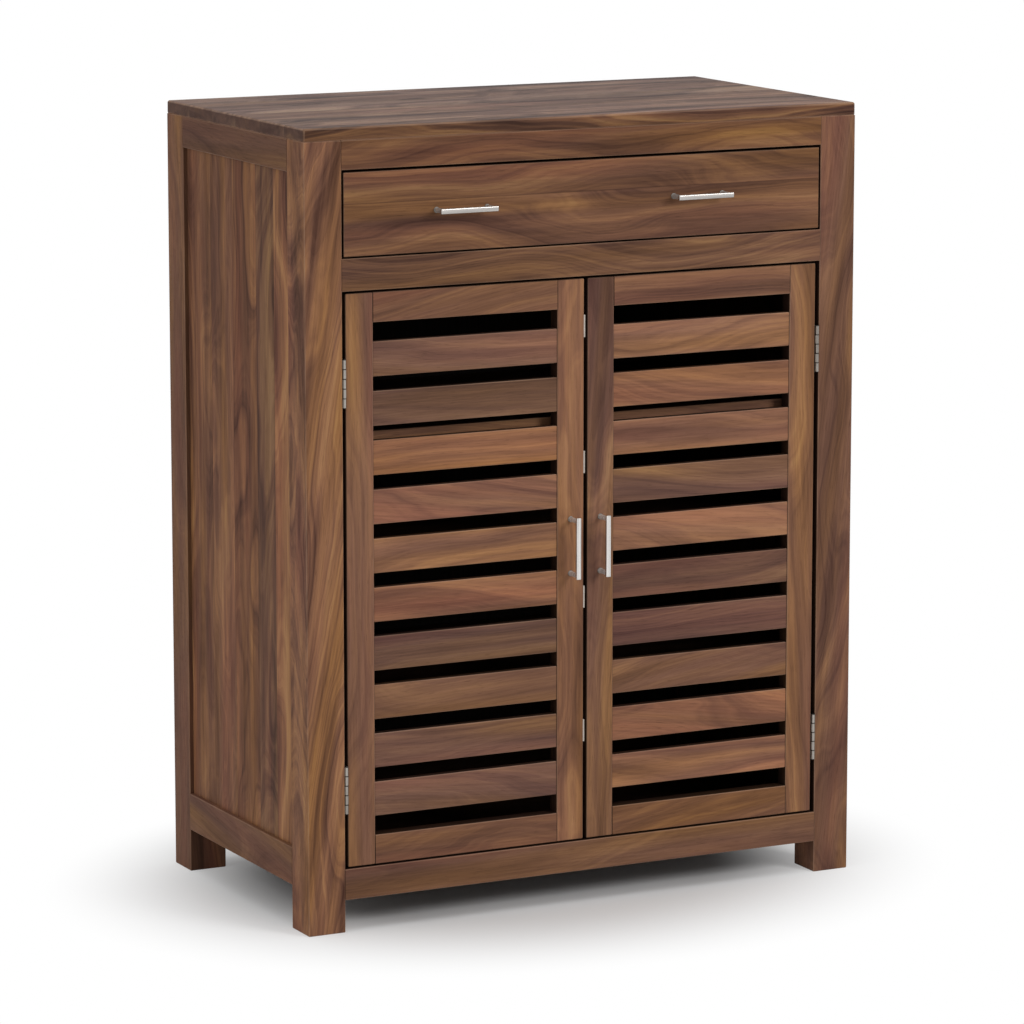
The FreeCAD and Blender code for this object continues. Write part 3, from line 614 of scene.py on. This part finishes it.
def felt(name, colour, shade):
    """Pressed felt: short tangled fibres."""
    made, g, shader = material(name)
    hair = g.noise(tuple(g.place().values()), *FELT_HAIR)[0]
    g.put(shader.inputs["Base Color"], g.mix(g.remap(hair, *GRAIN_RANGE), colour, shade))
    g.put(shader.inputs["Roughness"], g.remap(hair, *GRAIN_RANGE, *FELT_ROUGHNESS))
    g.put(shader.inputs["Normal"], g.bump(hair, *FELT_BUMP))
    shader.inputs["Sheen Weight"].default_value = FELT_SHEEN
    return made


# ---------------------------------------------------------------- finishes of the CAD nodes

# Where boards are glued edge to edge, and how bright each of them is beside the others
PANEL_BOARDS = ("y", glue_joints(low("left_side_panel", "y"), 0.06125, 0.053, 0.072, 0.068),
                (1.08, 0.78, 1.00, 1.08, 1.00))
DRAWER_BOARDS = "z", glue_joints(low("drawer_front", "z"), 0.064), (1.04, 0.93)
TOP_BOARDS = ("y", glue_joints(low("top_board", "y"), 0.05625, 0.072, 0.074, 0.074, 0.071),
              (1.02, 0.97, 1.03, 0.96, 1.02, 0.98))

# The slats of each door from the lowest up
PALE, MIDDLING, DARK = 1.30, 0.97, 0.78
LEFT_SLATS = "z", SLAT_TOPS, (MIDDLING, MIDDLING, MIDDLING, DARK, PALE,
                              PALE, PALE, PALE, DARK, MIDDLING)
RIGHT_SLATS = "z", SLAT_TOPS, (PALE, PALE, MIDDLING, DARK, DARK,
                               PALE, MIDDLING, PALE, PALE, PALE)

front_rail = rosewood("frame_rail_wood", "xzy", shade_boxes=(INSIDE_SHADE, OPENING_SHADE))
side_rail = rosewood("frame_side_rail_wood", "yzx", specular=SIDE_SPECULAR)
post = rosewood("frame_post_wood", "zxy", specular=SIDE_SPECULAR, shade_boxes=(INSIDE_SHADE, OPENING_SHADE),
                reveal_shade=PANEL_REVEAL_SHADE)
door_rail = rosewood("door_rail_wood", "xzy", faces=(DOOR_FACES, BETWEEN_STILES))
stile = rosewood("door_stile_wood", "zxy", faces=(DOOR_FACES,))
left_slat = rosewood("left_slat_wood", "xzy", boards=LEFT_SLATS, faces=(BETWEEN_STILES,))
right_slat = rosewood("right_slat_wood", "xzy", boards=RIGHT_SLATS, faces=(BETWEEN_STILES,))
drawer_front = rosewood("drawer_front_wood", "xzy", boards=DRAWER_BOARDS, faces=(DRAWER_FACE,),
                        glued=True)
panel = rosewood("side_panel_wood", "zyx", boards=PANEL_BOARDS, specular=SIDE_SPECULAR, glued=True)
top = rosewood("top_board_wood", "xyz", boards=TOP_BOARDS, specular=TOP_SPECULAR, glued=True)
shelf = rosewood("shelf_wood", "xyz", shade_boxes=(SHADE_BEHIND_SHELF_EDGES,))

INNER_LIGHT, INNER_DARK = tint(112, 84, 62), tint(84, 60, 46)
inner_wood = plain_wood("inner_wood_plain", "yzx", INNER_LIGHT, INNER_DARK)
inner_across = plain_wood("inner_wood_across", "xzy", INNER_LIGHT, INNER_DARK)
# The cleats and the back plywood inside the cabinet are painted this dark as the shade inside it
shaded_cleat_wood = plain_wood("cleat_wood_painted_shade", "yzx", tint(46, 33, 27), tint(30, 21, 17))
shaded_plywood = plain_wood("plywood_painted_shade", "zxy", tint(34, 24, 20), tint(22, 15, 13), 500.0)
drawer_ply = plain_wood("drawer_plywood", "xyz", tint(126, 98, 74), tint(100, 74, 56), 500.0)

# The handles are one satin nickel in copies painted for how the light falls on them: the drawer's darker
# as painted shade, the doors' paler as painted light, the feet darker still as painted shade
drawer_nickel_painted_darker = metal("satin_nickel_across_painted_darker", tint(196, 191, 186), tint(160, 157, 154), "x",
                      matt_behind=low("drawer_left_handle", "y") + BAR_THICK)
door_nickel_painted_paler = metal("satin_nickel_upright_painted_paler", tint(232, 228, 224), tint(190, 187, 184), "z",
                    matt_behind=low("left_door_handle", "y") + BAR_THICK)
foot_nickel_painted_shade = metal("satin_nickel_foot_painted_shade", tint(150, 147, 142), tint(120, 116, 110), "y", (0.46, 0.60),
                    metallic=MATT_METALLIC)
steel = metal("zinc_plated_steel", tint(170, 165, 158), tint(128, 123, 117), "z", (0.34, 0.48),
              knuckles=True)
plastic = moulded("catch_plastic_brown", tint(84, 60, 46), tint(96, 71, 56))
pale_felt = felt("buffer_felt_pale", tint(206, 196, 186), tint(176, 165, 154))

# Each board's finish, the number that picks its piece of the tree, its tone, warmth and
# figure. All were chosen beside the photograph.
ROSEWOOD_BOARDS = {
    "front_left_post": (post, 9, 1.11, 0.0, 1.50),
    "front_right_post": (post, 35, 0.92, 0.0, 0.85),
    "rear_left_post": (post, 3, 0.90, 0.0, 0.70),
    "rear_right_post": (post, 4, 0.90, 0.0, 0.80),
    "front_upper_rail": (front_rail, 5, 0.73, 0.8, 1.00),
    "front_middle_rail": (front_rail, 6, 0.80, -0.1, 1.20),
    "front_lower_rail": (front_rail, 7, 0.90, 0.0, 0.65),
    "rear_upper_rail": (front_rail, 8, 0.90, 0.0, 0.80),
    "rear_lower_rail": (front_rail, 9, 0.90, 0.0, 0.80),
    "left_upper_side_rail": (side_rail, 10, 0.73, 0.0, 0.75),
    "left_lower_side_rail": (side_rail, 11, 0.87, 0.2, 0.70),
    "right_upper_side_rail": (side_rail, 12, 0.90, 0.0, 0.80),
    "right_lower_side_rail": (side_rail, 13, 0.90, 0.0, 0.80),
    "left_side_panel": (panel, 20, 0.96, 1.0, 1.40),
    "right_side_panel": (panel, 30, 1.00, 0.5, 1.00),
    "top_board": (top, 40, 0.62, 0.7, 1.60),
    "upper_shelf": (shelf, 14, 1.10, 0.0, 0.90),
    "middle_shelf": (shelf, 15, 1.00, 0.0, 0.90),
    "lower_shelf": (shelf, 16, 1.00, 0.0, 0.90),
    "bottom_board": (shelf, 17, 1.00, 0.0, 0.90),
    "left_door_hinge_stile": (stile, 29, 1.10, 0.0, 0.60),
    "left_door_meeting_stile": (stile, 28, 1.13, -0.1, 1.10),
    "right_door_meeting_stile": (stile, 13, 1.01, -0.4, 0.95),
    "right_door_hinge_stile": (stile, 39, 1.08, 0.0, 0.75),
    "left_door_top_rail": (door_rail, 54, 0.95, 0.0, 0.80),
    "left_door_bottom_rail": (door_rail, 55, 0.95, 0.0, 0.80),
    "right_door_top_rail": (door_rail, 56, 0.95, 0.0, 0.80),
    "right_door_bottom_rail": (door_rail, 57, 0.95, 0.0, 0.80),
    "left_door_slats": (left_slat, 60, 1.05, -0.1, 0.70),
    "right_door_slats": (right_slat, 80, 1.05, -0.1, 0.70),
    "drawer_front": (drawer_front, 23, 0.82, 0.9, 0.95),
}
BY_NODE = {
    "drawer_left_side": inner_wood, "drawer_right_side": inner_wood, "drawer_back": inner_across,
    "drawer_bottom": drawer_ply, "shelf_cleats": shaded_cleat_wood, "bottom_cleats": shaded_cleat_wood,
    "drawer_left_handle": drawer_nickel_painted_darker, "drawer_right_handle": drawer_nickel_painted_darker,
    "left_door_handle": door_nickel_painted_paler, "right_door_handle": door_nickel_painted_paler,
}
BY_SLOT = {"inner_wood": inner_wood, "back_plywood": shaded_plywood, "hinge_steel": steel,
           "catch_plastic": plastic, "buffer_felt": pale_felt}


def dress(name, node):
    """Give a CAD node its finish and, where it is rosewood, its board's own values."""
    finish = BY_NODE.get(name)
    if name in ROSEWOOD_BOARDS:
        finish, number, node["tone"], node["warmth"], node["figure"] = ROSEWOOD_BOARDS[name]
        node["board"] = float(number)
    for place in node.material_slots:
        place.material = finish or BY_SLOT[place.material.name]


for name, node in nodes.items():
    dress(name, node)


# ---------------------------------------------------------------- meshes of screws, bolts and feet

# Profiles of (radius, height)
COUNTERSUNK = (0.00245, 0.0), (0.00245, 0.00012), (0.0022, 0.00030)
PAN_HEAD = (0.0042, 0.0), (0.0042, 0.0008), (0.0039, 0.0015), (0.0031, 0.0021), (0.0024, 0.0023)
FOOT = (0.0029, 0.0), (0.0037, 0.0), (0.0037, 0.0008), (0.0034, 0.0011), (0.0029, 0.0011)
SIDES = 24             # of a turned ring

# Cross recesses: how far their arms reach, half an arm's width, and how deep they are
SCREW_RECESS = 0.00125, 0.00032, 0.00026
BOLT_RECESS = 0.0020, 0.0005, 0.0013
BED_REACH, BED_WIDTH = 0.86, 0.8           # a recess narrows to these shares at its bottom


def add_piece(name, shape, finish, body):
    """Make a piece of a finished bmesh, which rides on a body."""
    bmesh.ops.recalc_face_normals(shape, faces=shape.faces)
    mesh = bpy.data.meshes.new(name)
    shape.to_mesh(mesh)
    shape.free()
    mesh.materials.append(finish)
    piece = bpy.data.objects.new(name, mesh)
    bpy.context.scene.collection.objects.link(piece)
    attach(piece, body)


def band(shape, lower, upper):
    """Smooth faces from one ring of corners to the next."""
    for k in range(len(lower)):
        shape.faces.new((lower[k], lower[k - 1], upper[k - 1], upper[k])).smooth = True


def turned(shape, profile, place):
    """Turn a profile about the height of a place, and hand back its rings."""
    turns = [2 * math.pi * k / SIDES for k in range(SIDES)]
    rings = [[shape.verts.new(place @ Vector((radius * math.cos(turn), radius * math.sin(turn), height)))
              for turn in turns] for radius, height in profile]
    for lower, upper in zip(rings, rings[1:]):
        band(shape, lower, upper)
    return rings


def cross_outline(shape, reach, half, height, place):
    """The corners of a cross at a height, with arms that are 2 half wide."""
    corners = [(reach, -half), (reach, half), (half, half), (half, reach), (-half, reach),
               (-half, half), (-reach, half), (-reach, -half), (-half, -half), (-half, -reach),
               (half, -reach), (half, -half)]
    return [shape.verts.new(place @ Vector((x, y, height))) for x, y in corners]


def screw_head(shape, place, profile, recess):
    """A turned head with a cross recess in its flat top."""
    reach, half, depth = recess
    seat, *_, rim = turned(shape, profile, place)
    shape.faces.new(seat)
    top_height = profile[-1][1]
    mouth = cross_outline(shape, reach, half, top_height, place)
    bed = cross_outline(shape, reach * BED_REACH, half * BED_WIDTH, top_height - depth, place)
    edges = [shape.edges.get((rim[k - 1], rim[k])) for k in range(len(rim))]
    edges += [shape.edges.new((mouth[k - 1], mouth[k])) for k in range(len(mouth))]
    bmesh.ops.triangle_fill(shape, edges=edges, use_beauty=True)
    for k in range(len(mouth)):
        shape.faces.new((mouth[k - 1], mouth[k], bed[k], bed[k - 1]))
    shape.faces.new(bed)


def add_heads(name, places, profile, recess, body):
    """The heads of several screws or bolts, as one piece."""
    shape = bmesh.new()
    for place in places:
        screw_head(shape, place, profile, recess)
    add_piece(name, shape, steel, body)


def add_feet(name, places, body):
    """The thin round feet that a handle's posts stand on, as one piece."""
    shape = bmesh.new()
    for place in places:
        rings = turned(shape, FOOT, place)
        band(shape, rings[-1], rings[0])
    add_piece(name, shape, foot_nickel_painted_shade, body)


def facing(x, y, z, way, spin=0.0):
    """A place whose height points along an axis, with its cross turned by spin."""
    turn = {"+x": Matrix.Rotation(math.pi / 2, 4, "Y"), "-x": Matrix.Rotation(-math.pi / 2, 4, "Y"),
            "+y": Matrix.Rotation(-math.pi / 2, 4, "X"), "-y": Matrix.Rotation(math.pi / 2, 4, "X"),
            }[way]
    return Matrix.Translation((x, y, z)) @ turn @ Matrix.Rotation(spin, 4, "Z")


# ---------------------------------------------------------------- where the fixings are

SCREW_INSET = 0.006    # from the inner edge of a leaf
SCREW_END = 0.012      # from the ends of a hinge
SCREW_HEIGHTS = SCREW_END, HINGE_LENGTH - SCREW_END

# How far the crosses are turned, in radians: screws have each stopped at another angle
SCREW_SPIN, NEXT_SCREW = 0.35, 1.1
BOLT_SPIN, NEXT_BOLT = 0.2, 0.6


def hinge_screws(side):
    """Two screws in every leaf, which look into the gap between the post and the door."""
    sign = -1 if side == "left" else 1
    inward, outward = ("+x", "-x") if side == "left" else ("-x", "+x")
    y = high(f"{side}_frame_hinge_leaves", "y") - SCREW_INSET
    heights = [foot + up for foot in HINGE_FEET for up in SCREW_HEIGHTS]
    for owner, body, x, way in (
            ("frame", "carcass", low("front_right_post", "x") - LEAF, inward),
            ("door", f"{side}_door", high("right_door_hinge_stile", "x") + LEAF, outward)):
        places = [facing(sign * x, y, z, way, SCREW_SPIN + NEXT_SCREW * k)
                  for k, z in enumerate(heights)]
        add_heads(f"{side}_{owner}_hinge_screws", places, COUNTERSUNK, SCREW_RECESS, body)


def handle_fixings(handle, carrier, body):
    """A foot under each post of a handle, and a bolt behind it on the back of what carries it."""
    middle = {axis: (low(handle, axis) + high(handle, axis)) / 2 for axis in "xz"}
    along = max("xz", key=lambda axis: high(handle, axis) - low(handle, axis))
    reach = (high(handle, along) - low(handle, along)) / 2 - POST_INSET
    feet = []
    bolts = []
    for k, way in enumerate((-1, 1)):
        spot = dict(middle)
        spot[along] += way * reach
        feet.append(facing(spot["x"], high(handle, "y"), spot["z"], "-y"))
        bolts.append(facing(spot["x"], high(carrier, "y"), spot["z"], "+y", BOLT_SPIN + NEXT_BOLT * k))
    add_feet(f"{handle}_feet", feet, body)
    add_heads(f"{handle}_bolts", bolts, PAN_HEAD, BOLT_RECESS, body)


for side in ("left", "right"):
    hinge_screws(side)
    handle_fixings(f"{side}_door_handle", f"{side}_door_meeting_stile", f"{side}_door")
    handle_fixings(f"drawer_{side}_handle", "drawer_front", "drawer")


# ---------------------------------------------------------------- studio

FLOOR_REACH = 30.0                 # from the floor's middle to its edges
FLOOR_SEGMENTS = 8
PAPER = rgb(0.88, 0.88, 0.88)

# The floor turns white outside an ellipse whose middle lies a little to the left of the object's
SHADOW_ASIDE = 0.02
SHADOW_WIDE, SHADOW_DEEP = 0.60, 0.50      # the ellipse's half axes
SHADOW_FADE = 0.46, 1.03                   # it turns from this share of the ellipse up to this one

DAYLIGHT = 0.40
MIDDLE = 0, 0, 0.5

# Each softbox's place, what it points at, its width and height, and its power in watts
SOFTBOXES = {
    "overhead_softbox": ((-0.1, -0.4, 2.9), (0, -0.1, 0.3), 2.4, 2.2, 16.0),
    "front_softbox": ((1.6, -3.1, 2.1), MIDDLE, 1.2, 1.2, 49.0),
    "left_softbox": ((-3.2, -0.4, 1.8), MIDDLE, 2.0, 2.0, 15.5),
}

# The camera stands where the photograph's corners, feet and rails say that it was taken from
SENSOR_MM = 36.0
LENS_MM = 172.463
CAMERA_PLACE = -2.8172, -5.5493, 1.5850
CAMERA_DOWN = 9.616                # degrees that it looks down
CAMERA_RIGHT = 26.885              # degrees that it looks to the right of straight ahead
CAMERA_SHIFT = -0.0449
CAMERA_RANGE = 0.1, 100.0


def floor_material():
    """A pale floor that keeps the shadow and runs out into plain white away from the object."""
    made, g, shader = material("studio_floor")
    made.node_tree.nodes.remove(shader)
    place = g.place()
    beside = g.times(g.add(place["x"], SHADOW_ASIDE), 1 / SHADOW_WIDE)
    before = g.times(place["y"], 1 / SHADOW_DEEP)
    far = g.math("SQRT", g.add(g.times(beside, beside), g.times(before, before)))
    paper = g.node("BsdfDiffuse", {"Color": PAPER}).outputs[0]
    white = g.node("Emission", {"Color": WHITE, "Strength": 1.0}).outputs[0]
    fade = g.remap(far, *SHADOW_FADE, curve="SMOOTHSTEP")
    share = g.node("MixShader", {"Fac": g.times(g.seen(), fade)})
    g.put(share.inputs[1], paper)
    g.put(share.inputs[2], white)
    g.put(made.node_tree.nodes["Material Output"].inputs["Surface"], share.outputs[0])
    return made


def build_floor():
    shape = bmesh.new()
    bmesh.ops.create_grid(shape, x_segments=FLOOR_SEGMENTS, y_segments=FLOOR_SEGMENTS,
                          size=FLOOR_REACH)
    mesh = bpy.data.meshes.new("studio_floor")
    shape.to_mesh(mesh)
    shape.free()
    floor = bpy.data.objects.new("studio_floor", mesh)
    bpy.context.scene.collection.objects.link(floor)
    mesh.materials.append(floor_material())


def build_world():
    """Even daylight on the object, and plain white where the world itself is seen or mirrored."""
    world = bpy.data.worlds.new("studio")
    world.use_nodes = True
    bpy.context.scene.world = world
    g = Graph(world.node_tree)
    light = world.node_tree.nodes["Background"]
    light.inputs["Color"].default_value = WHITE
    g.put(light.inputs["Strength"], g.remap(g.seen(), 0.0, 1.0, DAYLIGHT, 1.0))


def build_softbox(name, place, target, width, height, power):
    lamp = bpy.data.lights.new(name, "AREA")
    lamp.shape = "RECTANGLE"
    lamp.size = width
    lamp.size_y = height
    lamp.energy = power
    box = bpy.data.objects.new(name, lamp)
    bpy.context.scene.collection.objects.link(box)
    box.location = place
    box.rotation_euler = (Vector(target) - Vector(place)).to_track_quat("-Z", "Y").to_euler()


def build_camera():
    lens = bpy.data.cameras.new("camera")
    lens.sensor_width = SENSOR_MM
    lens.lens = LENS_MM
    lens.shift_y = CAMERA_SHIFT
    lens.clip_start, lens.clip_end = CAMERA_RANGE
    camera = bpy.data.objects.new("camera", lens)
    bpy.context.scene.collection.objects.link(camera)
    camera.location = CAMERA_PLACE
    camera.rotation_euler = (math.radians(90 - CAMERA_DOWN), 0.0, math.radians(-CAMERA_RIGHT))
    bpy.context.scene.camera = camera


build_floor()
build_world()
for name, data in SOFTBOXES.items():
    build_softbox(name, *data)
build_camera()

bpy.context.scene.view_settings.view_transform = "Standard"
